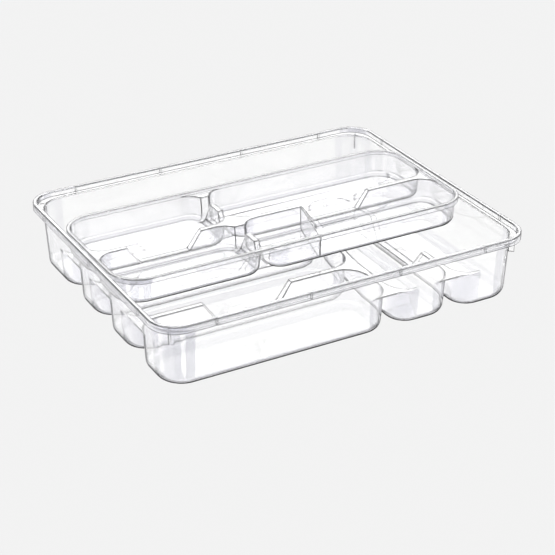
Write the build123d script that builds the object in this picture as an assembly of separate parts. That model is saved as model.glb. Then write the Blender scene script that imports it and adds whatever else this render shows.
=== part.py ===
from build123d import *
import math
import os

# A clear two-level cutlery tray, in millimetres: a deep base tray with six pockets,
# and a shallow tray that slides on a ledge inside the base's rim.
# X runs along the long side, Y from front to back, Z up. The origin is at the middle
# of the underside.

# Base tray: overall size
tray_length = 400.0
tray_depth = 322.0
tray_height = 70.0
wall = 1.4
draft_angle = 3.0

# Base tray: rim, seen in section as an upside-down U with a ledge inside it
rim_corner = 28.0
rim_width = 4.5
rim_skirt = 7.9
rim_round = 1.0
ledge_depth = 5.5
ledge_width = 4.0
well_corner = 28.5

# Base tray: pockets. Depths and lengths are those of the mouths, at the ridge tops.
ridge_height = 40.0
ridge_width = 6.6
pocket_corner = 23.5
floor_fillet = 10.0
front_pocket_depth = 66.9
third_pocket_depth = 67.0
second_pocket_depth = 64.4
right_pocket_length = 68.1
knife_pocket_length = 64.6

# Base tray: the ridge beside the knife pocket turns aside towards the back, in two bends
third_pocket_slant = 6.0
second_pocket_slant = 11.5
bend_radius = 40.0

# Base tray: lowered middles of the ridges
notch_length = 93.0
notch_drop = 22.0
notch_run = 15.5

# Base tray: thin ribs
rib_thickness = 1.2
gusset_spacing = 96.5
side_gusset_spacing = 110.0
corner_rib_height = 15.0
corner_rib_reach = 5.0
ridge_rib_height = 15.0
ridge_rib_spacing = 70.0
ridge_rib_setback = 22.0

# Sliding tray: overall size and place. The offset is that of the tray's middle.
slider_depth = 155.6
slider_offset = 13.2
slider_wall = 1.3
slider_rim_corner = 32.0
slider_rim_round = 0.8
slider_floor_fillet = 6.5
slider_ridge_drop = 3.0
slider_ridge_width = 6.0
slider_pocket_corner = 19.0
front_row_depth = 68.5
left_row_length = 149.3

# Sliding tray: lowered middle of the ridge between the rows
row_notch_length = 79.0
row_notch_drop = 18.5
row_notch_run = 13.4

# Sliding tray: the cross ridge has a short post between two slots in each row
post_length = 18.0
post_drop = 1.5
post_run = 10.0
slot_width = 3.5
slot_run = 3.0

# Sliding tray: slanted thin wall that closes off the small pocket
small_pocket_length = 62.5
slanted_wall_angle = 14.5

# Clearances between the two trays
side_gap = 1.5
well_gap = 0.5
under_gap = 1.5

# How far a tool body runs past what it cuts
overrun = 2.0

# Corners of a narrow pocket are rounded by at most this share of its width
corner_share = 0.45

# Heights, and places worked out from the sizes
slope = math.tan(math.radians(draft_angle))
rim_bottom = tray_height - rim_skirt
ledge_height = tray_height - ledge_depth
well_length = tray_length - 2 * (rim_width + ledge_width)
well_depth = tray_depth - 2 * (rim_width + ledge_width)
well_draft = (ledge_height - ridge_height) * slope
mouth_x = well_length / 2 - well_draft
mouth_y = well_depth / 2 - well_draft
mouth_corner = well_corner - well_draft
half_ridge = ridge_width / 2
front_ridge_y = -mouth_y + front_pocket_depth + half_ridge
middle_ridge_y = front_ridge_y + ridge_width + third_pocket_depth
back_ridge_y = middle_ridge_y + ridge_width + second_pocket_depth
right_ridge_x = mouth_x - right_pocket_length - half_ridge
knife_ridge_x = right_ridge_x - ridge_width - knife_pocket_length
middle_turn = (middle_ridge_y - front_ridge_y) * math.tan(math.radians(third_pocket_slant))

slider_length = tray_length - 2 * (rim_width + side_gap)
slider_mouth_length = well_length - 2 * (well_gap + slider_wall - ledge_depth * slope)
slider_rim_width = (slider_length - slider_mouth_length) / 2
slider_bottom = ridge_height + under_gap
slider_ridge_height = tray_height - slider_ridge_drop
slider_draft = slider_ridge_drop * slope
slider_mouth_x = slider_mouth_length / 2 - slider_draft
slider_mouth_y = slider_depth / 2 - slider_rim_width - slider_draft
half_slider_ridge = slider_ridge_width / 2
row_ridge_y = -slider_mouth_y + front_row_depth + half_slider_ridge
cross_ridge_x = -slider_mouth_x + left_row_length + half_slider_ridge


# Blocks and outlines

def rounded_box(length, depth, corner):
    """Flat face of a rectangle about the origin with rounded corners."""
    return RectangleRounded(length, depth, corner).face()


def rounded_outline(corners):
    """Flat face, looking up, inside a closed outline of (x, y, radius) corners."""
    turned = corners[1:] + corners[:1]
    area = sum(x0 * y1 - x1 * y0 for (x0, y0, _), (x1, y1, _) in zip(corners, turned))
    ordered = corners if area > 0 else corners[::-1]
    points = [(x, y) for x, y, _ in ordered]
    radii = [radius for _, _, radius in ordered]
    return make_face(FilletPolyline(*points, radius=radii, close=True).edges()).face()


def grown(face, amount):
    """The same face with its outline moved outwards."""
    return offset(face, amount=amount).face()


def prism(face, bottom, top):
    """Upright block on a flat face drawn at height zero."""
    return extrude(Pos(0, 0, bottom) * face, amount=top - bottom, dir=(0, 0, 1))


def tapered(face, top, bottom):
    """Block that narrows downwards by the draft from a face at its top."""
    narrowing_upwards = extrude(face, amount=top - bottom, dir=(0, 0, 1), taper=draft_angle)
    return Pos(0, 0, top) * mirror(narrowing_upwards, about=Plane.XY)


def bowl(face, top, bottom, fillet_radius):
    """Tapered block with its lower edge rounded."""
    block = tapered(face, top, bottom)
    return fillet(block.faces().sort_by(Axis.Z)[0].edges(), fillet_radius)


def fitted(corner, *lengths):
    """A corner radius that still fits beside the given lengths."""
    return min(corner, corner_share * min(lengths))


def band(points, thickness):
    """Closed outline of a band that lies under a line of points."""
    normals = []
    for (x0, z0), (x1, z1) in zip(points, points[1:]):
        length = math.hypot(x1 - x0, z1 - z0)
        normals.append(((z1 - z0) / length, (x0 - x1) / length))
    before = [normals[0]] + normals
    after = normals + [normals[-1]]
    lower = []
    for (x, z), (ax, az), (bx, bz) in zip(points, before, after):
        reach = thickness / (1 + ax * bx + az * bz)
        lower.append((x + (ax + bx) * reach, z + (az + bz) * reach))
    return points + lower[::-1]


def opened(points):
    """Closed outline of the space above a line of points."""
    top = max(z for _, z in points) + overrun
    return points + [(points[-1][0], top), (points[0][0], top)]


def upright(outline, width):
    """Block of an outline drawn in XZ, centred on the XZ plane."""
    face = make_face(Polyline(*[(x, 0, z) for x, z in outline], close=True).edges())
    return extrude(face, amount=width / 2, dir=(0, 1, 0), both=True)


def notch_line(length, run, drop, top):
    """Line across a lowered middle with sloped ends."""
    half = length / 2
    return [(-half, top), (run - half, top - drop), (half - run, top - drop), (half, top)]


def notch(line, thickness, width, x, y, turn=0.0):
    """Floor and cut-away of a lowered stretch of a ridge."""
    place = Pos(x, y, 0) * Rot(0, 0, turn)
    floor = place * upright(band(line, thickness), width + 2 * thickness)
    space = place * upright(opened(line), width)
    return floor, space


# Both trays: a shared well over pockets that each have walls of their own

def tub_block(mouth, top, cells, ridge_top, bottom, thickness, fillet_radius):
    """Outer shape of the well and of the pockets under it, not yet hollow."""
    growth = thickness - thickness * slope
    under_ridge = ridge_top - thickness
    block = tapered(grown(mouth, growth), top - thickness, under_ridge)
    for cell in cells:
        block += bowl(grown(cell, growth), under_ridge, bottom, fillet_radius)
    return block


def tub_hollows(mouth, top, cells, ridge_top, bottom, thickness, fillet_radius):
    """Spaces inside the well and inside each pocket."""
    well = tapered(mouth, top, ridge_top)
    inner_fillet = fillet_radius - thickness
    return [well], [bowl(cell, ridge_top, bottom + thickness, inner_fillet) for cell in cells]


# Base tray

def knife_ridge(y):
    """Middle of the ridge beside the knife pocket at a given Y."""
    if y < middle_ridge_y:
        beyond = max(0.0, y - front_ridge_y)
        return knife_ridge_x + beyond * math.tan(math.radians(third_pocket_slant))
    beyond = y - middle_ridge_y
    return knife_ridge_x + middle_turn + beyond * math.tan(math.radians(second_pocket_slant))


def long_pocket(front, back, left_front_corner):
    """Outline of a pocket between the left wall and the knife pocket's ridge."""
    corner = fitted(pocket_corner, back - front)
    return rounded_outline([
        (-mouth_x, back, corner),
        (-mouth_x, front, fitted(left_front_corner, back - front)),
        (knife_ridge(front) - half_ridge, front, corner),
        (knife_ridge(back) - half_ridge, back, corner),
    ])


def base_cells():
    """Mouth outlines of the six pockets, at the height of the ridge tops."""
    far_y = back_ridge_y + half_ridge
    near_y = back_ridge_y - half_ridge
    knife_right = right_ridge_x - half_ridge
    far_left = right_ridge_x + half_ridge
    back_pocket_depth = mouth_y - far_y
    far_corner = fitted(pocket_corner, back_pocket_depth)
    back_corner = fitted(mouth_corner, back_pocket_depth)
    knife_end = fitted(pocket_corner, knife_right - knife_ridge(near_y) - half_ridge)
    knife_front = fitted(pocket_corner, knife_pocket_length)
    right_corner = fitted(pocket_corner, right_pocket_length)
    right_front_corner = fitted(mouth_corner, right_pocket_length)
    back_pocket = [
        (-mouth_x, far_y, far_corner),
        (mouth_x, far_y, far_corner),
        (mouth_x, mouth_y, back_corner),
        (-mouth_x, mouth_y, back_corner),
    ]
    knife_pocket = [
        (knife_ridge_x + half_ridge, -mouth_y, knife_front),
        (knife_ridge_x + half_ridge, front_ridge_y, bend_radius),
        (knife_ridge(middle_ridge_y) + half_ridge, middle_ridge_y, bend_radius),
        (knife_ridge(near_y) + half_ridge, near_y, knife_end),
        (knife_right, near_y, knife_end),
        (knife_right, -mouth_y, knife_front),
    ]
    right_pocket = [
        (far_left, -mouth_y, right_corner),
        (mouth_x, -mouth_y, right_front_corner),
        (mouth_x, near_y, right_corner),
        (far_left, near_y, right_corner),
    ]
    front_back = front_ridge_y - half_ridge
    return [
        long_pocket(-mouth_y, front_back, mouth_corner),
        long_pocket(front_ridge_y + half_ridge, middle_ridge_y - half_ridge, pocket_corner),
        long_pocket(middle_ridge_y + half_ridge, near_y, pocket_corner),
        rounded_outline(back_pocket),
        rounded_outline(knife_pocket),
        rounded_outline(right_pocket),
    ]


def rim_outline(inset):
    """Outline of the base's rim, moved inwards."""
    return rounded_box(tray_length - 2 * inset, tray_depth - 2 * inset, rim_corner - inset)


def base_rim():
    """Upside-down U of the rim, with a plate at the height of the ledge."""
    opening = prism(rim_outline(rim_width), ledge_height, tray_height + overrun)
    block = prism(rim_outline(0.0), rim_bottom, tray_height) - opening
    block = fillet(block.faces().sort_by(Axis.Z)[-1].edges(), rim_round)
    upstand = rim_outline(rim_width - wall)
    slot = prism(rim_outline(wall), rim_bottom - overrun, tray_height - wall)
    slot -= prism(upstand, rim_bottom - overrun, tray_height)
    below_ledge = prism(upstand, rim_bottom - overrun, ledge_height - wall)
    return block - slot - below_ledge


def rim_gussets():
    """Thin plates across the slot inside the rim."""
    height = rim_skirt - wall / 2
    middle = rim_bottom + height / 2
    reach = rim_width - wall
    edge_x = (tray_length - rim_width) / 2
    edge_y = (tray_depth - rim_width) / 2
    plates = []
    for row in (-1, 1):
        for step in (-1.5, -0.5, 0.5, 1.5):
            plate = Box(rib_thickness, reach, height)
            plates.append(Pos(step * gusset_spacing, row * edge_y, middle) * plate)
        for step in (-1, 0, 1):
            plate = Box(reach, rib_thickness, height)
            plates.append(Pos(row * edge_x, step * side_gusset_spacing, middle) * plate)
    return plates


def corner_ribs():
    """Upright fins under the ledge at the four corners, where stacked trays rest."""
    outer = well_corner + wall + corner_rib_reach
    middle = ledge_height - wall - corner_rib_height / 2
    fins = []
    for turn in (45, 135, 225, 315):
        across = math.radians(turn)
        x = math.copysign(well_length / 2 - well_corner, math.cos(across))
        y = math.copysign(well_depth / 2 - well_corner, math.sin(across))
        fin = Pos(outer - well_corner / 2, 0, 0) * Box(well_corner, rib_thickness, corner_rib_height)
        fins.append(Pos(x, y, middle) * Rot(0, 0, turn) * fin)
    return fins


def ridge_ribs():
    """Thin plates across the gap under the back ridge."""
    middle = ridge_height - wall - ridge_rib_height / 2
    last = mouth_x - ridge_rib_setback
    plate = Box(rib_thickness, ridge_width, ridge_rib_height)
    return [Pos(last - step * ridge_rib_spacing, back_ridge_y, middle) * plate for step in range(3)]


def base_notches():
    """Lowered middles of the three long ridges and of the ridge beside the right pocket."""
    line = notch_line(notch_length, notch_run, notch_drop, ridge_height)
    width = ridge_width + 2 * notch_drop * slope + 2 * wall
    long_middle = (knife_ridge_x - half_ridge - mouth_x) / 2
    right_middle = (back_ridge_y - half_ridge - mouth_y) / 2
    notches = []
    for y in (front_ridge_y, middle_ridge_y, back_ridge_y):
        notches.append(notch(line, wall, width, long_middle, y))
    notches.append(notch(line, wall, width, right_ridge_x, right_middle, 90))
    return notches


def base_tray():
    """The whole base tray as one moulding."""
    mouth = rounded_box(well_length, well_depth, well_corner)
    cells = base_cells()
    tub = (mouth, ledge_height, cells, ridge_height, 0.0, wall, floor_fillet)
    notches = base_notches()
    body = tub_block(*tub) + base_rim()
    for piece in [floor for floor, _ in notches] + rim_gussets() + corner_ribs() + ridge_ribs():
        body += piece
    wells, pockets = tub_hollows(*tub)
    for space in wells + pockets + [space for _, space in notches]:
        body -= space
    return body


# Sliding tray, about its own middle

def slider_cells():
    """Mouth outlines of the pockets, at the height of the ridge tops."""
    left = cross_ridge_x - half_slider_ridge
    right = cross_ridge_x + half_slider_ridge
    front = row_ridge_y - half_slider_ridge
    back = row_ridge_y + half_slider_ridge
    spans = (front_row_depth, slider_mouth_y - back, left_row_length)
    inner = fitted(slider_pocket_corner, *spans)
    outer = fitted(slider_rim_corner - slider_rim_width - slider_draft, *spans)
    cells = []
    for x_wall, x_ridge in ((-slider_mouth_x, left), (slider_mouth_x, right)):
        for y_wall, y_ridge in ((-slider_mouth_y, front), (slider_mouth_y, back)):
            corners = [(x_wall, y_wall, outer), (x_ridge, y_wall, inner)]
            corners += [(x_ridge, y_ridge, inner), (x_wall, y_ridge, inner)]
            cells.append(rounded_outline(corners))
    return cells


def slider_rim():
    """Flange and skirt around the sliding tray. The skirt stands on the base's ledge."""
    outline = rounded_box(slider_length, slider_depth, slider_rim_corner)
    block = prism(outline, ledge_height, tray_height)
    block = fillet(block.faces().sort_by(Axis.Z)[-1].edges(), slider_rim_round)
    inside = grown(outline, -slider_wall)
    return block - prism(inside, ledge_height - overrun, tray_height - slider_wall)


def slanted_wall():
    """Thin wall across the front row's right-hand pocket."""
    row_middle = (row_ridge_y - half_slider_ridge - slider_mouth_y) / 2
    x = cross_ridge_x + half_slider_ridge + small_pocket_length
    height = slider_ridge_height - slider_bottom
    plate = Box(slider_wall, front_row_depth + slider_ridge_width, height)
    return Pos(x, row_middle, slider_bottom + height / 2) * Rot(0, 0, -slanted_wall_angle) * plate


def post_line():
    """Line over the post and the two slots of the cross ridge in one row."""
    top = slider_ridge_height
    floor = slider_bottom + slider_wall
    post = post_length / 2
    slot = post + post_run
    side = slot + slot_width
    half = [(post, top - post_drop), (slot, floor), (side, floor), (side + slot_run, top)]
    return [(-x, z) for x, z in half[::-1]] + half


def slider_notches():
    """Lowered middles of the row ridge, and the slots in the cross ridge."""
    line = notch_line(row_notch_length, row_notch_run, row_notch_drop, slider_ridge_height)
    width = slider_ridge_width + 2 * row_notch_drop * slope + 2 * slider_wall
    left_middle = (cross_ridge_x - half_slider_ridge - slider_mouth_x) / 2
    right_middle = (cross_ridge_x + half_slider_ridge + slider_mouth_x) / 2
    notches = []
    for x in (left_middle, right_middle):
        notches.append(notch(line, slider_wall, width, x, row_ridge_y))
    front_middle = (row_ridge_y - half_slider_ridge - slider_mouth_y) / 2
    back_middle = (row_ridge_y + half_slider_ridge + slider_mouth_y) / 2
    slot_reach = slider_ridge_width + 2 * slider_floor_fillet
    slot_reach += 2 * (slider_ridge_height - slider_bottom) * slope
    for y in (front_middle, back_middle):
        notches.append(notch(post_line(), slider_wall, slot_reach, cross_ridge_x, y, 90))
    return notches


def sliding_tray():
    """The whole sliding tray as one moulding, at its place over the base."""
    mouth_depth = slider_depth - 2 * slider_rim_width
    mouth_radius = slider_rim_corner - slider_rim_width
    mouth = rounded_box(slider_mouth_length, mouth_depth, mouth_radius)
    shape = (slider_cells(), slider_ridge_height, slider_bottom, slider_wall, slider_floor_fillet)
    notches = slider_notches()
    body = tub_block(mouth, tray_height, *shape) + slider_rim()
    for floor, _ in notches:
        body += floor
    wells, pockets = tub_hollows(mouth, tray_height, *shape)
    barrier = slanted_wall()
    for space in wells + [pocket - barrier for pocket in pockets]:
        body -= space
    for _, space in notches:
        body -= space
    return Pos(0, slider_offset, 0) * body


def write(name, shape):
    """Write one piece as a single solid."""
    solids = shape.solids()
    print(name, "solids", len(solids), "volume", round(shape.volume))
    export_step(solids[0] if len(solids) == 1 else Compound(children=solids), f"parts/{name}.step")


os.makedirs("parts", exist_ok=True)
write("base_tray", base_tray())
write("sliding_tray", sliding_tray())
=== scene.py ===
import logging
import math
from dataclasses import dataclass
from enum import Enum, IntEnum

import bmesh
import bpy
import numpy as np
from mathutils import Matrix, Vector


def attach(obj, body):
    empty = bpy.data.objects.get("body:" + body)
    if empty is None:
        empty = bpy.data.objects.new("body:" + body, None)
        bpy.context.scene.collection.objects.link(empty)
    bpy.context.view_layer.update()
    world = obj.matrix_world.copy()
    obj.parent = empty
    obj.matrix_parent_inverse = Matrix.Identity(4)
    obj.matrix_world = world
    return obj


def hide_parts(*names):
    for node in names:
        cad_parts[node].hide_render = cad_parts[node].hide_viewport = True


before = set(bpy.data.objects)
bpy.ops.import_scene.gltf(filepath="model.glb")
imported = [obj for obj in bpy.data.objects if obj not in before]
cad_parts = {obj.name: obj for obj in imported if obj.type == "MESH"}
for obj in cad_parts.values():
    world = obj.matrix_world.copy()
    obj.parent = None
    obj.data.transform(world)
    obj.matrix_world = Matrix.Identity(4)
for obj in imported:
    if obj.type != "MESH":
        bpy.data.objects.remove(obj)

LOG = logging.getLogger("cutlery_tray")
MM = 0.001
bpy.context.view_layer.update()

# Settings that several nodes share.
COLOURS = {"data_type": "RGBA"}
MULTIPLY = {"operation": "MULTIPLY"}
SMOOTH = {"interpolation_type": "SMOOTHSTEP"}


class Body(Enum):
    """Bodies of the model that pieces ride on."""

    BASE = "base"
    SLIDER = "slider"


class Slot(Enum):
    """Material slots of a dressed moulding."""

    WALL = 0
    ROUND = 1
    EDGE = 2


class Mark(Enum):
    """Face attributes that tell a finish which part of the moulding it colours."""

    BEND = "bend"
    OUTSIDE = "outside"
    UNDERSIDE = "underside"


class MixIn(IntEnum):
    """Numbers of a colour Mix node's inputs."""

    SHARE = 0
    FIRST = 6
    SECOND = 7


class MixOut(IntEnum):
    """Number of a colour Mix node's output."""

    COLOUR = 2


def linear(hex_colour: str) -> tuple[float, float, float, float]:
    """Turn an sRGB hex colour to linear light.

    Args:
        hex_colour: Colour such as "#F1F1F0".

    Returns:
        Linear red, green and blue, and an alpha of 1.
    """
    channels = [int(hex_colour[i:i + 2], 16) / 255 for i in (1, 3, 5)]
    light = [c / 12.92 if c <= 0.04045 else ((c + 0.055) / 1.055) ** 2.4 for c in channels]
    return light[0], light[1], light[2], 1.0


def add_node(tree: bpy.types.NodeTree, kind: str, settings: dict,
             links: dict) -> bpy.types.Node:
    """Add a node with its settings and links.

    Args:
        tree: Tree that takes the node.
        kind: Blender's name for the kind of node.
        settings: Values by attribute name, or by input name or number.
        links: Output sockets by the input name or number that they feed.

    Returns:
        The new node.
    """
    node = tree.nodes.new(kind)
    for name, value in settings.items():
        if isinstance(name, str) and name not in node.inputs:
            setattr(node, name, value)
        else:
            node.inputs[name].default_value = value
    for name, socket in links.items():
        tree.links.new(socket, node.inputs[name])
    return node


def new_material(name: str) -> tuple[bpy.types.Material, bpy.types.NodeTree]:
    """Make an empty node material.

    Args:
        name: Name of the material.

    Returns:
        The material and its cleared node tree.
    """
    material = bpy.data.materials.new(name)
    material.use_nodes = True
    material.node_tree.nodes.clear()
    return material, material.node_tree


def read_values(items: bpy.types.bpy_prop_collection, name: str, kind: type,
                columns: int = 1) -> np.ndarray:
    """Read one property of a mesh's faces, edges, vertices or loops.

    Args:
        items: Faces, edges, vertices or loops.
        name: Name of the property.
        kind: Type of its values, int or float.
        columns: Values per item.

    Returns:
        A flat array, or one with a row per item where an item has several values.
    """
    values = np.zeros(len(items) * columns, dtype=kind)
    items.foreach_get(name, values)
    return values if columns == 1 else values.reshape(-1, columns)


def write_values(mesh: bpy.types.Mesh, name: str, domain: str, values: np.ndarray) -> None:
    """Write an attribute of decimal numbers.

    Args:
        mesh: Mesh that takes the attribute.
        name: Name of the attribute.
        domain: "FACE" or "EDGE".
        values: A value per face or edge.
    """
    attribute = mesh.attributes.new(name, "FLOAT", domain)
    attribute.data.foreach_set("value", values.astype(np.float32))


@dataclass(frozen=True)
class Sight:
    """Sockets that tell where a ray meets a moulding, and how.

    Attributes:
        facing: 0 where the surface is seen straight on, 1 where it is seen along its face.
        front: 1 on an outside face that the ray meets from the air, else 0.
        under: Share of underside of a face that the ray meets from the air, else 0.
        is_bend: 1 on a bend, 0 on a flat face.
        contour: 1 on a bend's contour, falling to 0 away from it.
    """

    facing: bpy.types.NodeSocket
    front: bpy.types.NodeSocket
    under: bpy.types.NodeSocket
    is_bend: bpy.types.NodeSocket
    contour: bpy.types.NodeSocket


@dataclass(frozen=True)
class ClearPolystyrene:
    """General-purpose polystyrene, injection moulded in polished steel.

    The polished mould gives the eye a clear, glossy wall. The melt's flow leaves faint
    long waves, and use leaves fine rubbed patches that blur the gloss a little. The greys
    are painted shade: a bend is darkest on its contour, where the line of sight runs along
    the plastic, and an underside's contour holds a painted shadow.

    Attributes:
        name: Name of the material.
        tint: Flat wall seen straight on: the plastic's own colour, and painted shade in the rims'
            and edges' finishes.
        painted_grazing_shade: Painted shade on a flat wall seen along its face.
        painted_skirt_shade: Painted shade on the outside of the rim's skirt.
        painted_bend_shade: Painted shade on a bend away from its contour.
        painted_corner_shade: Painted shade on the outside of a bend, seen straight on.
        painted_underside_shade: Painted shade on the outside of a bend on an underside, seen
            aslant.
        painted_contour_shade: Painted shade on the contour of a bend.
        painted_underside_shadow: Painted shadow on the contour of a bend on an underside, seen from
            outside.
        flat_grazing_range: Facing where the painted grazing shade starts, and is full.
        corner_range: Facing where the painted corner shade starts, and is full.
        under_range: Facing where the painted underside shade starts, and is full.
        contour_range: Share of the bend's mark where its contour starts, and is full.
        least_bend: Mark past which a face counts as a bend.
        clear_share: Share of light that the clear plastic lets through unscattered.
        gloss: Specular level away from the contours.
        absorbed: Colour of Blender's absorption; black darkens all colours alike.
        absorption_per_m: Absorption inside the plastic, for each metre.
        ior: Index of refraction.
        roughness: Roughness of the polished face.
        rubbed_roughness: Roughness of the rubbed patches.
        rub_range: Noise where a rubbed patch starts, and is full.
        rub_patch_mm: Size of the rubbed patches.
        rub_detail: Octaves of the rubbed patches' noise.
        rub_contrast: Strength of each octave over the one before.
        flow_wave_mm: Length of the flow waves.
        flow_height_mm: Height of the flow waves.
        flow_detail: Octaves of the flow waves' noise.
        flow_contrast: Strength of each octave over the one before.
    """

    name: str
    # The first colour is the plastic's own; the six greys after it are painted shade, and the last
    # a painted shadow.
    tint: str = "#FEFEFE"
    painted_grazing_shade: str = "#CDCDD4"
    painted_skirt_shade: str = "#C4C4C8"
    painted_bend_shade: str = "#F4F4F6"
    painted_corner_shade: str = "#C8C8CF"
    painted_underside_shade: str = "#A0A0A6"
    painted_contour_shade: str = "#38383C"
    painted_underside_shadow: str = "#020202"
    flat_grazing_range: tuple[float, float] = (0.6, 0.95)
    corner_range: tuple[float, float] = (0.5, 0.1)
    under_range: tuple[float, float] = (0.1, 0.7)
    contour_range: tuple[float, float] = (1.0, 0.6)
    least_bend: float = 0.01
    clear_share: float = 0.905
    gloss: float = 0.5
    absorbed: str = "#000000"
    absorption_per_m: float = 20.0
    ior: float = 1.5
    roughness: float = 0.0
    rubbed_roughness: float = 0.03
    rub_range: tuple[float, float] = (0.42, 0.75)
    rub_patch_mm: float = 9.0
    rub_detail: float = 5.0
    rub_contrast: float = 0.62
    flow_wave_mm: float = 26.0
    flow_height_mm: float = 0.02
    flow_detail: float = 2.0
    flow_contrast: float = 0.4

    def flow_waves(self, tree: bpy.types.NodeTree) -> bpy.types.NodeSocket:
        """Raise the faint waves that the melt's flow leaves.

        Args:
            tree: Tree that takes the nodes.

        Returns:
            The bumped normal.
        """
        place = add_node(tree, "ShaderNodeTexCoord", {}, {}).outputs["Object"]
        waves = add_node(tree, "ShaderNodeTexNoise", {
            "Scale": 1 / (self.flow_wave_mm * MM), "Detail": self.flow_detail,
            "Roughness": self.flow_contrast}, {"Vector": place})
        return add_node(tree, "ShaderNodeBump", {
            "Strength": 1.0, "Distance": self.flow_height_mm * MM,
        }, {"Height": waves.outputs["Fac"]}).outputs["Normal"]

    def rubbed_patches(self, tree: bpy.types.NodeTree) -> bpy.types.NodeSocket:
        """Roughen the patches that use has rubbed.

        Args:
            tree: Tree that takes the nodes.

        Returns:
            The roughness.
        """
        place = add_node(tree, "ShaderNodeTexCoord", {}, {}).outputs["Object"]
        patches = add_node(tree, "ShaderNodeTexNoise", {
            "Scale": 1 / (self.rub_patch_mm * MM), "Detail": self.rub_detail,
            "Roughness": self.rub_contrast}, {"Vector": place})
        return add_node(tree, "ShaderNodeMapRange", {
            "From Min": self.rub_range[0], "From Max": self.rub_range[1],
            "To Min": self.roughness, "To Max": self.rubbed_roughness,
        }, {"Value": patches.outputs["Fac"]}).outputs["Result"]

    def sight(self, tree: bpy.types.NodeTree) -> Sight:
        """Work out which part of the moulding a ray meets, and from which side.

        At a blend of 0.5, facing is 1 less the cosine between the normal and the line of
        sight. A bend's mark is the cosine at which its contour ends, so the contour lies
        where the cosine over the mark is below 1.

        Args:
            tree: Tree that takes the nodes.

        Returns:
            The sockets that the colours are chosen by.
        """
        bend, outside, underside = (
            add_node(tree, "ShaderNodeAttribute", {"attribute_name": mark.value}, {}).outputs["Fac"]
            for mark in (Mark.BEND, Mark.OUTSIDE, Mark.UNDERSIDE))
        facing = add_node(tree, "ShaderNodeLayerWeight", {"Blend": 0.5}, {}).outputs["Facing"]
        from_inside = add_node(tree, "ShaderNodeNewGeometry", {}, {}).outputs["Backfacing"]
        front = add_node(tree, "ShaderNodeMath", {
            "operation": "SUBTRACT", "use_clamp": True}, {0: outside, 1: from_inside})
        under = add_node(tree, "ShaderNodeMath", MULTIPLY, {
            0: underside, 1: front.outputs["Value"]})
        is_bend = add_node(tree, "ShaderNodeMath", {
            "operation": "GREATER_THAN", 1: self.least_bend}, {0: bend})
        cosine = add_node(tree, "ShaderNodeMath", {"operation": "SUBTRACT", 0: 1.0}, {1: facing})
        share_of_mark = add_node(tree, "ShaderNodeMath", {"operation": "DIVIDE"}, {
            0: cosine.outputs["Value"], 1: bend})
        contour = add_node(tree, "ShaderNodeMapRange", {
            **SMOOTH, "From Min": self.contour_range[0], "From Max": self.contour_range[1],
        }, {"Value": share_of_mark.outputs["Value"]})
        return Sight(facing, front.outputs["Value"], under.outputs["Value"],
                     is_bend.outputs["Value"], contour.outputs["Result"])

    def flat_colour(self, tree: bpy.types.NodeTree, sight: Sight) -> bpy.types.NodeSocket:
        """Colour a flat wall, with painted shade on the skirt's outside and where it is seen along
        its face.

        Args:
            tree: Tree that takes the nodes.
            sight: Where the ray meets the wall.

        Returns:
            The colour.
        """
        # The skirt's outside takes a painted shade in place of the plain colour.
        straight_on = add_node(tree, "ShaderNodeMix", {
            **COLOURS, MixIn.FIRST: linear(self.tint), MixIn.SECOND: linear(self.painted_skirt_shade),
        }, {MixIn.SHARE: sight.front})
        # Seen along its face, the wall fades to a painted shade.
        grazing = add_node(tree, "ShaderNodeMapRange", {
            **SMOOTH, "From Min": self.flat_grazing_range[0],
            "From Max": self.flat_grazing_range[1]}, {"Value": sight.facing})
        return add_node(tree, "ShaderNodeMix", {
            **COLOURS, MixIn.SECOND: linear(self.painted_grazing_shade)}, {
                MixIn.SHARE: grazing.outputs["Result"],
                MixIn.FIRST: straight_on.outputs[MixOut.COLOUR]}).outputs[MixOut.COLOUR]

    def bend_colour(self, tree: bpy.types.NodeTree, sight: Sight) -> bpy.types.NodeSocket:
        """Colour a bend with painted shade: greyer outside and underneath, and dark on its contour.

        Args:
            tree: Tree that takes the nodes.
            sight: Where the ray meets the bend.

        Returns:
            The colour.
        """
        # Outward bends seen straight on get a darker painted shade.
        straight_on = add_node(tree, "ShaderNodeMapRange", {
            **SMOOTH, "From Min": self.corner_range[0], "From Max": self.corner_range[1],
        }, {"Value": sight.facing})
        corner_share = add_node(tree, "ShaderNodeMath", MULTIPLY, {
            0: sight.front, 1: straight_on.outputs["Result"]})
        # Away from its contour, a bend carries a light painted shade.
        corner = add_node(tree, "ShaderNodeMix", {
            **COLOURS, MixIn.FIRST: linear(self.painted_bend_shade),
            MixIn.SECOND: linear(self.painted_corner_shade)}, {
                MixIn.SHARE: corner_share.outputs["Value"]})
        # Bends on an underside, seen aslant, get a painted shade.
        aslant = add_node(tree, "ShaderNodeMapRange", {
            **SMOOTH, "From Min": self.under_range[0], "From Max": self.under_range[1],
        }, {"Value": sight.facing})
        under_share = add_node(tree, "ShaderNodeMath", MULTIPLY, {
            0: sight.under, 1: aslant.outputs["Result"]})
        shade = add_node(tree, "ShaderNodeMix", {
            **COLOURS, MixIn.SECOND: linear(self.painted_underside_shade)}, {
                MixIn.SHARE: under_share.outputs["Value"],
                MixIn.FIRST: corner.outputs[MixOut.COLOUR]})
        # Contours are a painted dark shade, and an underside's contour seen from outside a painted
        # shadow.
        contour = add_node(tree, "ShaderNodeMix", {
            **COLOURS, MixIn.FIRST: linear(self.painted_contour_shade),
            MixIn.SECOND: linear(self.painted_underside_shadow)}, {MixIn.SHARE: sight.under})
        return add_node(tree, "ShaderNodeMix", COLOURS, {
            MixIn.SHARE: sight.contour, MixIn.FIRST: shade.outputs[MixOut.COLOUR],
            MixIn.SECOND: contour.outputs[MixOut.COLOUR]}).outputs[MixOut.COLOUR]

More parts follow.
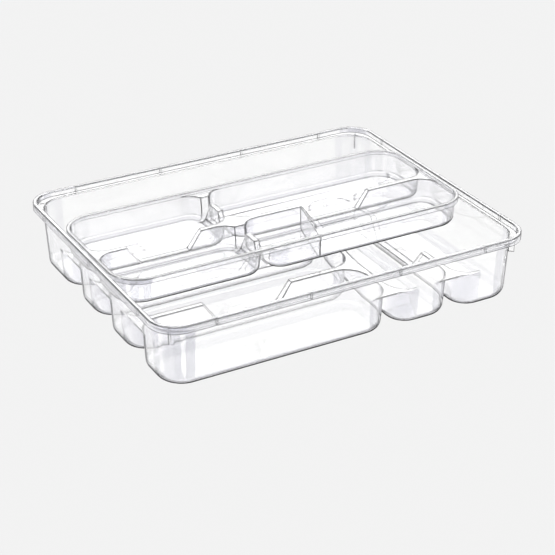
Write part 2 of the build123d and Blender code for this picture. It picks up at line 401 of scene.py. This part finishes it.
    def build(self) -> bpy.types.Material:
        """Make the material.

        A contour loses its gloss, so that no reflection pales its painted shade, and the contour
        of an underside that is seen from outside lets no light through either: a painted shadow.

        Returns:
            The material.
        """
        material, tree = new_material(self.name)
        sight = self.sight(tree)
        colour = add_node(tree, "ShaderNodeMix", COLOURS, {
            MixIn.SHARE: sight.is_bend, MixIn.FIRST: self.flat_colour(tree, sight),
            MixIn.SECOND: self.bend_colour(tree, sight)})
        on_contour = add_node(tree, "ShaderNodeMath", MULTIPLY, {
            0: sight.is_bend, 1: sight.contour})
        gloss = add_node(tree, "ShaderNodeMapRange", {
            "To Min": self.gloss, "To Max": 0.0}, {"Value": on_contour.outputs["Value"]})
        # Seen from outside, an underside's contour turns opaque, a painted shadow.
        on_under_contour = add_node(tree, "ShaderNodeMath", MULTIPLY, {
            0: on_contour.outputs["Value"], 1: sight.under})
        clear = add_node(tree, "ShaderNodeMapRange", {
            "To Min": self.clear_share, "To Max": 0.0,
        }, {"Value": on_under_contour.outputs["Value"]})
        shader = add_node(tree, "ShaderNodeBsdfPrincipled", {"IOR": self.ior}, {
            "Base Color": colour.outputs[MixOut.COLOUR],
            "Roughness": self.rubbed_patches(tree),
            "Transmission Weight": clear.outputs["Result"],
            "Specular IOR Level": gloss.outputs["Result"],
            "Normal": self.flow_waves(tree)})
        absorption = add_node(tree, "ShaderNodeVolumeAbsorption", {
            "Color": linear(self.absorbed), "Density": self.absorption_per_m}, {})
        add_node(tree, "ShaderNodeOutputMaterial", {}, {
            "Surface": shader.outputs["BSDF"], "Volume": absorption.outputs["Volume"]})
        return material


@dataclass(frozen=True)
class PaleBoard:
    """Smooth matt studio board, painted a pale neutral grey that shows no gloss.

    Attributes:
        name: Name of the material.
        colour: Colour of the paint.
        roughness: Roughness of the matt paint.
    """

    name: str
    colour: str
    roughness: float = 0.9

    def build(self) -> bpy.types.Material:
        """Make the material.

        Returns:
            The material.
        """
        material, tree = new_material(self.name)
        shader = add_node(tree, "ShaderNodeBsdfPrincipled", {
            "Base Color": linear(self.colour), "Roughness": self.roughness,
            "Specular IOR Level": 0.0,
        }, {})
        add_node(tree, "ShaderNodeOutputMaterial", {}, {"Surface": shader.outputs["BSDF"]})
        return material


@dataclass(frozen=True)
class Faces:
    """Faces of a mesh, and the pairs of them that share an edge.

    Attributes:
        normals: Normal of each face.
        longest: Longest edge of each face.
        widths: Width of each face.
        shared: Number of the edge that each pair shares.
        first: Number of each pair's first face.
        second: Number of each pair's second face.
        turns: Angle between each pair's normals, in radians.
        bulges: 1 for a pair that bulges outwards, -1 for a hollow one.
    """

    normals: np.ndarray
    longest: np.ndarray
    widths: np.ndarray
    shared: np.ndarray
    first: np.ndarray
    second: np.ndarray
    turns: np.ndarray
    bulges: np.ndarray

    @classmethod
    def of(cls, mesh: bpy.types.Mesh) -> "Faces":
        """Measure a mesh.

        A face's width is its area over its longest edge. Sorting the loops by their edge
        puts the two faces of each edge side by side. A pair bulges outwards where the step
        from its first centre to its second runs against its first normal less its second.

        Args:
            mesh: Mesh to measure.

        Returns:
            Its faces and their pairs.
        """
        count = len(mesh.polygons)
        edges = read_values(mesh.loops, "edge_index", int)
        face_of_loop = np.repeat(
            np.arange(count), read_values(mesh.polygons, "loop_total", int))
        ends = read_values(mesh.edges, "vertices", int, 2)
        corners = read_values(mesh.vertices, "co", float, 3)
        lengths = np.linalg.norm(corners[ends[:, 1]] - corners[ends[:, 0]], axis=1)
        longest = np.zeros(count)
        np.maximum.at(longest, face_of_loop, lengths[edges])
        order = np.argsort(edges, kind="stable")
        edges, face_of_loop = edges[order], face_of_loop[order]
        same = edges[:-1] == edges[1:]
        first, second = face_of_loop[:-1][same], face_of_loop[1:][same]
        normals = read_values(mesh.polygons, "normal", float, 3)
        centres = read_values(mesh.polygons, "center", float, 3)
        turns = np.arccos(np.clip((normals[first] * normals[second]).sum(axis=1), -1, 1))
        steps = centres[second] - centres[first]
        bulges = -np.sign((steps * (normals[first] - normals[second])).sum(axis=1))
        widths = read_values(mesh.polygons, "area", float) / longest
        return cls(normals, longest, widths, edges[:-1][same], first, second, turns, bulges)


@dataclass
class Moulding:
    """One injection-moulded tray, dressed from its solid.

    Attributes:
        node: Name of the solid.
        body: Body that the tray moves with.
        wall: Finish of the walls.
        rim: Material of the narrow rounds along the rims, grey with painted shade.
        edge: Material of the small radii along all other edges, near black with painted shade.
        edge_radius: Radius that the mould leaves on each sharp edge, in metres.
        edge_segments: Faces across that radius.
        sharp_angle: Turn between two faces past which their edge is rounded.
        sliver: Width below which a face is too narrow for its edges to be rounded.
        merge_gap: Gap between corners that are one.
        flat_angle: Turn below which two faces lie in one plane.
        least_turn: Turn below which two faces don't make a bend.
        largest_bend: Radius past which a bend looks flat.
        largest_round: Radius below which a bend gets the rim's finish.
        contour_width: Width of the band of painted dark shade inside a bend's contour.
        contour_share: Largest share of a bend's radius that the band may take.
        under_slope: Fall of the normal at which a face is wholly underside.
        narrowest_strip: Width past which a long flat face is a strip of the rim's skirt.
        widest_strip: Width below which it is one.
        shortest_strip: Length past which it is one.
    """

    node: str
    body: Body
    wall: ClearPolystyrene
    rim: ClearPolystyrene
    edge: ClearPolystyrene
    edge_radius: float = 0.4 * MM
    edge_segments: int = 2
    sharp_angle: float = math.radians(30)
    sliver: float = 0.3 * MM
    merge_gap: float = 0.002 * MM
    flat_angle: float = math.radians(0.6)
    least_turn: float = math.radians(1.5)
    largest_bend: float = 45.0 * MM
    largest_round: float = 2.5 * MM
    contour_width: float = 1.4 * MM
    contour_share: float = 0.3
    under_slope: float = 0.5
    narrowest_strip: float = 6.6 * MM
    widest_strip: float = 8.0 * MM
    shortest_strip: float = 60.0 * MM

    def merged_mesh(self) -> bpy.types.Mesh:
        """Copy the solid's mesh with shared corners and whole flat faces.

        Returns:
            A new smooth mesh whose triangles are joined wherever they lie in one plane.
        """
        shape = bmesh.new()
        shape.from_mesh(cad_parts[self.node].data)
        bmesh.ops.remove_doubles(shape, verts=shape.verts, dist=self.merge_gap)
        bmesh.ops.dissolve_limit(
            shape, angle_limit=self.flat_angle, verts=shape.verts, edges=shape.edges)
        mesh = bpy.data.meshes.new(f"{self.node}_moulding")
        shape.to_mesh(mesh)
        shape.free()
        mesh.polygons.foreach_set("use_smooth", np.ones(len(mesh.polygons), dtype=bool))
        mesh.update()
        return mesh

    def is_bent(self, faces: Faces) -> np.ndarray:
        """Tell which pairs of faces turn like a bend: neither flat nor sharp."""
        return (faces.turns > self.least_turn) & (faces.turns < self.sharp_angle)

    def bend_radii(self, faces: Faces) -> np.ndarray:
        """Estimate the radius of the bend that each face lies on.

        Where a face of width b meets its neighbour at a small turn t, in radians, a bend
        through both would have the radius b / t.

        Args:
            faces: Faces of the moulding.

        Returns:
            The smallest of each face's radii, or infinity where it has none.
        """
        bent = self.is_bent(faces)
        radii = np.full(len(faces.widths), np.inf)
        for side in (faces.first[bent], faces.second[bent]):
            np.minimum.at(radii, side, faces.widths[side] / faces.turns[bent])
        return radii

    def bend_marks(self, radii: np.ndarray) -> np.ndarray:
        """Work out the cosine at which each bend's contour ends.

        A band of width w inside the contour of a bend of radius r ends where the cosine
        between the normal and the line of sight is sqrt(2 w / r), as long as w is small.

        Args:
            radii: Radius of each face's bend.

        Returns:
            The cosine for each face of a bend, and 0 for a flat face.
        """
        shares = np.minimum(self.contour_width / radii, self.contour_share)
        return np.where(radii < self.largest_bend, np.sqrt(2 * shares), 0)

    def is_outside(self, faces: Faces, marks: np.ndarray) -> np.ndarray:
        """Tell which faces get the painted shade of an outside.

        They are the faces of a bend whose pairs bulge by more than they sink, each pair
        counted by its turn, and the flat strips of the rim's skirt, told by their size.

        Args:
            faces: Faces of the moulding.
            marks: Bend mark of each face.

        Returns:
            True for each outside face.
        """
        bent = self.is_bent(faces)
        bulge = np.zeros(len(marks))
        for side in (faces.first[bent], faces.second[bent]):
            np.add.at(bulge, side, (faces.bulges * faces.turns)[bent])
        is_strip = ((marks == 0) & (faces.longest > self.shortest_strip)
                    & (faces.widths > self.narrowest_strip)
                    & (faces.widths < self.widest_strip))
        return is_strip | ((marks > 0) & (bulge > 0))

    def edge_weights(self, faces: Faces, count: int) -> np.ndarray:
        """Choose the edges that get the mould's radius: sharp, and beside no sliver.

        Args:
            faces: Faces of the moulding.
            count: Number of its edges.

        Returns:
            Bevel weight of each edge, 1 or 0.
        """
        narrower = np.minimum(faces.widths[faces.first], faces.widths[faces.second])
        weights = np.zeros(count)
        weights[faces.shared] = (faces.turns >= self.sharp_angle) & (narrower > self.sliver)
        return weights

    def mark(self, mesh: bpy.types.Mesh) -> None:
        """Choose each face's finish, and write the face marks and the bevel weights.

        A face is underside by as much as its normal points down, up to the full slope.

        Args:
            mesh: Mesh of the moulding.
        """
        faces = Faces.of(mesh)
        radii = self.bend_radii(faces)
        marks = self.bend_marks(radii)
        slots = np.where(radii < self.largest_round, Slot.ROUND.value, Slot.WALL.value)
        undersides = np.clip(-faces.normals[:, 2] / self.under_slope, 0, 1)
        mesh.polygons.foreach_set("material_index", slots.astype(np.int32))
        write_values(mesh, "bevel_weight_edge", "EDGE",
                     self.edge_weights(faces, len(mesh.edges)))
        write_values(mesh, Mark.BEND.value, "FACE", marks)
        write_values(mesh, Mark.OUTSIDE.value, "FACE", self.is_outside(faces, marks))
        write_values(mesh, Mark.UNDERSIDE.value, "FACE", undersides)
        LOG.info("%s: of %d faces, %d are bends and %d rounds", mesh.name, len(marks),
                 int((marks > 0).sum()), int((slots > 0).sum()))

    def build(self) -> bpy.types.Object:
        """Make the dressed tray, and let it stand for its solid.

        The photograph shows no shadow and no tint on the board, so the tray casts neither.

        Returns:
            The new object.
        """
        mesh = self.merged_mesh()
        self.mark(mesh)
        for finish in (self.wall, self.rim, self.edge):
            mesh.materials.append(finish.build())
        piece = bpy.data.objects.new(f"{self.node}_moulding", mesh)
        bpy.context.scene.collection.objects.link(piece)
        bevel = piece.modifiers.new("edge_radii", "BEVEL")
        bevel.width = self.edge_radius
        bevel.segments = self.edge_segments
        bevel.limit_method = "WEIGHT"
        bevel.use_clamp_overlap = False
        bevel.material = Slot.EDGE.value
        shading = piece.modifiers.new("flat_faces_stay_flat", "WEIGHTED_NORMAL")
        shading.keep_sharp = True
        piece.visible_shadow = False
        piece.visible_diffuse = False
        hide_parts(self.node)
        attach(piece, self.body.value)
        LOG.info("%s: %d faces, rides on %s", piece.name, len(mesh.polygons), self.body.value)
        return piece


@dataclass
class Studio:
    """Pale board, bright soft sky and the camera of the photograph.

    Attributes:
        board_size: Side of the board, in metres.
        board_gap: Drop from the tray's underside to the board.
        board_colour: Colour of the board.
        light_colour: Colour of the tent's light.
        side_strength: Light from the tent's sides.
        top_strength: Light from its top.
        ground_strength: Light from below the horizon.
        side_heights: Heights between which the ground's light turns to the sides'.
        top_heights: Heights between which the sides' light turns to the top's.
        camera_place: Place of the camera.
        camera_target: Point that it looks at.
        camera_reach: Nearest and farthest distance that it sees.
        lens: Focal length, in millimetres.
        sensor: Width of the sensor, in millimetres.
        light_bounces: Surfaces that a light path may meet; each clear wall counts as two.
    """

    board_size: float = 14.0
    board_gap: float = 0.3 * MM
    board_colour: str = "#BEBEBE"
    light_colour: str = "#FFFFFF"
    side_strength: float = 3.2
    top_strength: float = 0.9
    ground_strength: float = 0.4
    side_heights: tuple[float, float] = (0.0, 0.12)
    top_heights: tuple[float, float] = (0.4, 0.8)
    camera_place: tuple[float, float, float] = (-0.7144, -1.2943, 0.7788)
    camera_target: tuple[float, float, float] = (-0.06135, -0.11976, 0.070)
    camera_reach: tuple[float, float] = (0.01, 50.0)
    lens: float = 106.9
    sensor: float = 36.0
    light_bounces: int = 48

    def board(self) -> bpy.types.Object:
        """Lay the board under the tray.

        Each corner is plus or minus half the board's side along X and Y, and the gap down.

        Returns:
            A flat square, a hair below the tray so that light gets between the two.
        """
        half = self.board_size / 2
        corners = np.array([(-1, -1, 0), (1, -1, 0), (1, 1, 0), (-1, 1, 0)]) * half
        corners[:, 2] = -self.board_gap
        mesh = bpy.data.meshes.new("studio_board")
        mesh.from_pydata(corners.tolist(), [], [(0, 1, 2, 3)])
        mesh.materials.append(PaleBoard("painted_board", self.board_colour).build())
        board = bpy.data.objects.new("studio_board", mesh)
        bpy.context.scene.collection.objects.link(board)
        return board

    def sky(self) -> None:
        """Light everything from a tent with bright sides, a softer top and a dark foot.

        The strength depends on the height of the direction, from -1 straight down to 1
        straight up. It rises evenly from the ground's to the sides', and then changes
        smoothly to the top's.
        """
        world = bpy.data.worlds.new("light_tent")
        bpy.context.scene.world = world
        world.use_nodes = True
        tree = world.node_tree
        tree.nodes.clear()
        direction = add_node(tree, "ShaderNodeTexCoord", {}, {}).outputs["Generated"]
        height = add_node(tree, "ShaderNodeSeparateXYZ", {}, {"Vector": direction}).outputs["Z"]
        sides = add_node(tree, "ShaderNodeMapRange", {
            "From Min": self.side_heights[0], "From Max": self.side_heights[1],
            "To Min": self.ground_strength, "To Max": self.side_strength,
        }, {"Value": height})
        top = add_node(tree, "ShaderNodeMapRange", {
            **SMOOTH, "From Min": self.top_heights[0], "From Max": self.top_heights[1],
            "To Min": 1.0, "To Max": self.top_strength / self.side_strength,
        }, {"Value": height})
        strength = add_node(tree, "ShaderNodeMath", MULTIPLY, {
            0: sides.outputs["Result"], 1: top.outputs["Result"]})
        light = add_node(tree, "ShaderNodeBackground", {"Color": linear(self.light_colour)}, {
            "Strength": strength.outputs["Value"]})
        add_node(tree, "ShaderNodeOutputWorld", {}, {"Surface": light.outputs["Background"]})

    def camera(self) -> bpy.types.Object:
        """Set up the camera at the photograph's angle.

        Returns:
            The camera, which looks at the target with its top side up.
        """
        data = bpy.data.cameras.new("camera")
        data.lens = self.lens
        data.sensor_width = self.sensor
        data.clip_start, data.clip_end = self.camera_reach
        camera = bpy.data.objects.new("camera", data)
        bpy.context.scene.collection.objects.link(camera)
        camera.location = self.camera_place
        line = Vector(self.camera_target) - Vector(self.camera_place)
        camera.rotation_euler = line.to_track_quat("-Z", "Y").to_euler()
        bpy.context.scene.camera = camera
        return camera

    def build(self) -> None:
        """Set the board, the light and the camera, and the depth of the light paths."""
        self.board()
        self.sky()
        self.camera()
        scene = bpy.context.scene
        scene.view_settings.view_transform = "Standard"
        scene.cycles.max_bounces = self.light_bounces
        scene.cycles.transmission_bounces = self.light_bounces
        scene.cycles.transparent_max_bounces = self.light_bounces
        LOG.info("studio: board %.1f m, sides %.2f", self.board_size, self.side_strength)


def main() -> None:
    """Build the studio, then dress each tray and report it."""
    logging.basicConfig(level=logging.INFO, format="%(message)s")
    Studio().build()
    wall = ClearPolystyrene("clear_polystyrene_wall")
    # The upper tray's walls look a touch greyer than the base's.
    thin_wall = ClearPolystyrene(
        "clear_polystyrene_thin_wall", tint="#F6F6F7", painted_bend_shade="#EEEEF0")
    # Rounds this narrow are grey all over with painted shade, which draws the rims as soft lines.
    rim = ClearPolystyrene(
        "clear_polystyrene_round_painted_shade", tint="#CCCCD0", painted_bend_shade="#A8A8AC",
        painted_corner_shade="#A8A8AC", painted_contour_shade="#68686C")
    # The mould's own radii are finer than a pixel; a near-black painted shade draws them as thin
    # dark lines.
    edge = ClearPolystyrene(
        "clear_polystyrene_edge_painted_shade", tint="#141416", painted_bend_shade="#141416",
        painted_corner_shade="#141416", gloss=0.1)
    for piece in (Moulding("base_tray", Body.BASE, wall, rim, edge),
                  Moulding("sliding_tray", Body.SLIDER, thin_wall, rim, edge)):
        piece.build()


if __name__ == "__main__":
    main()
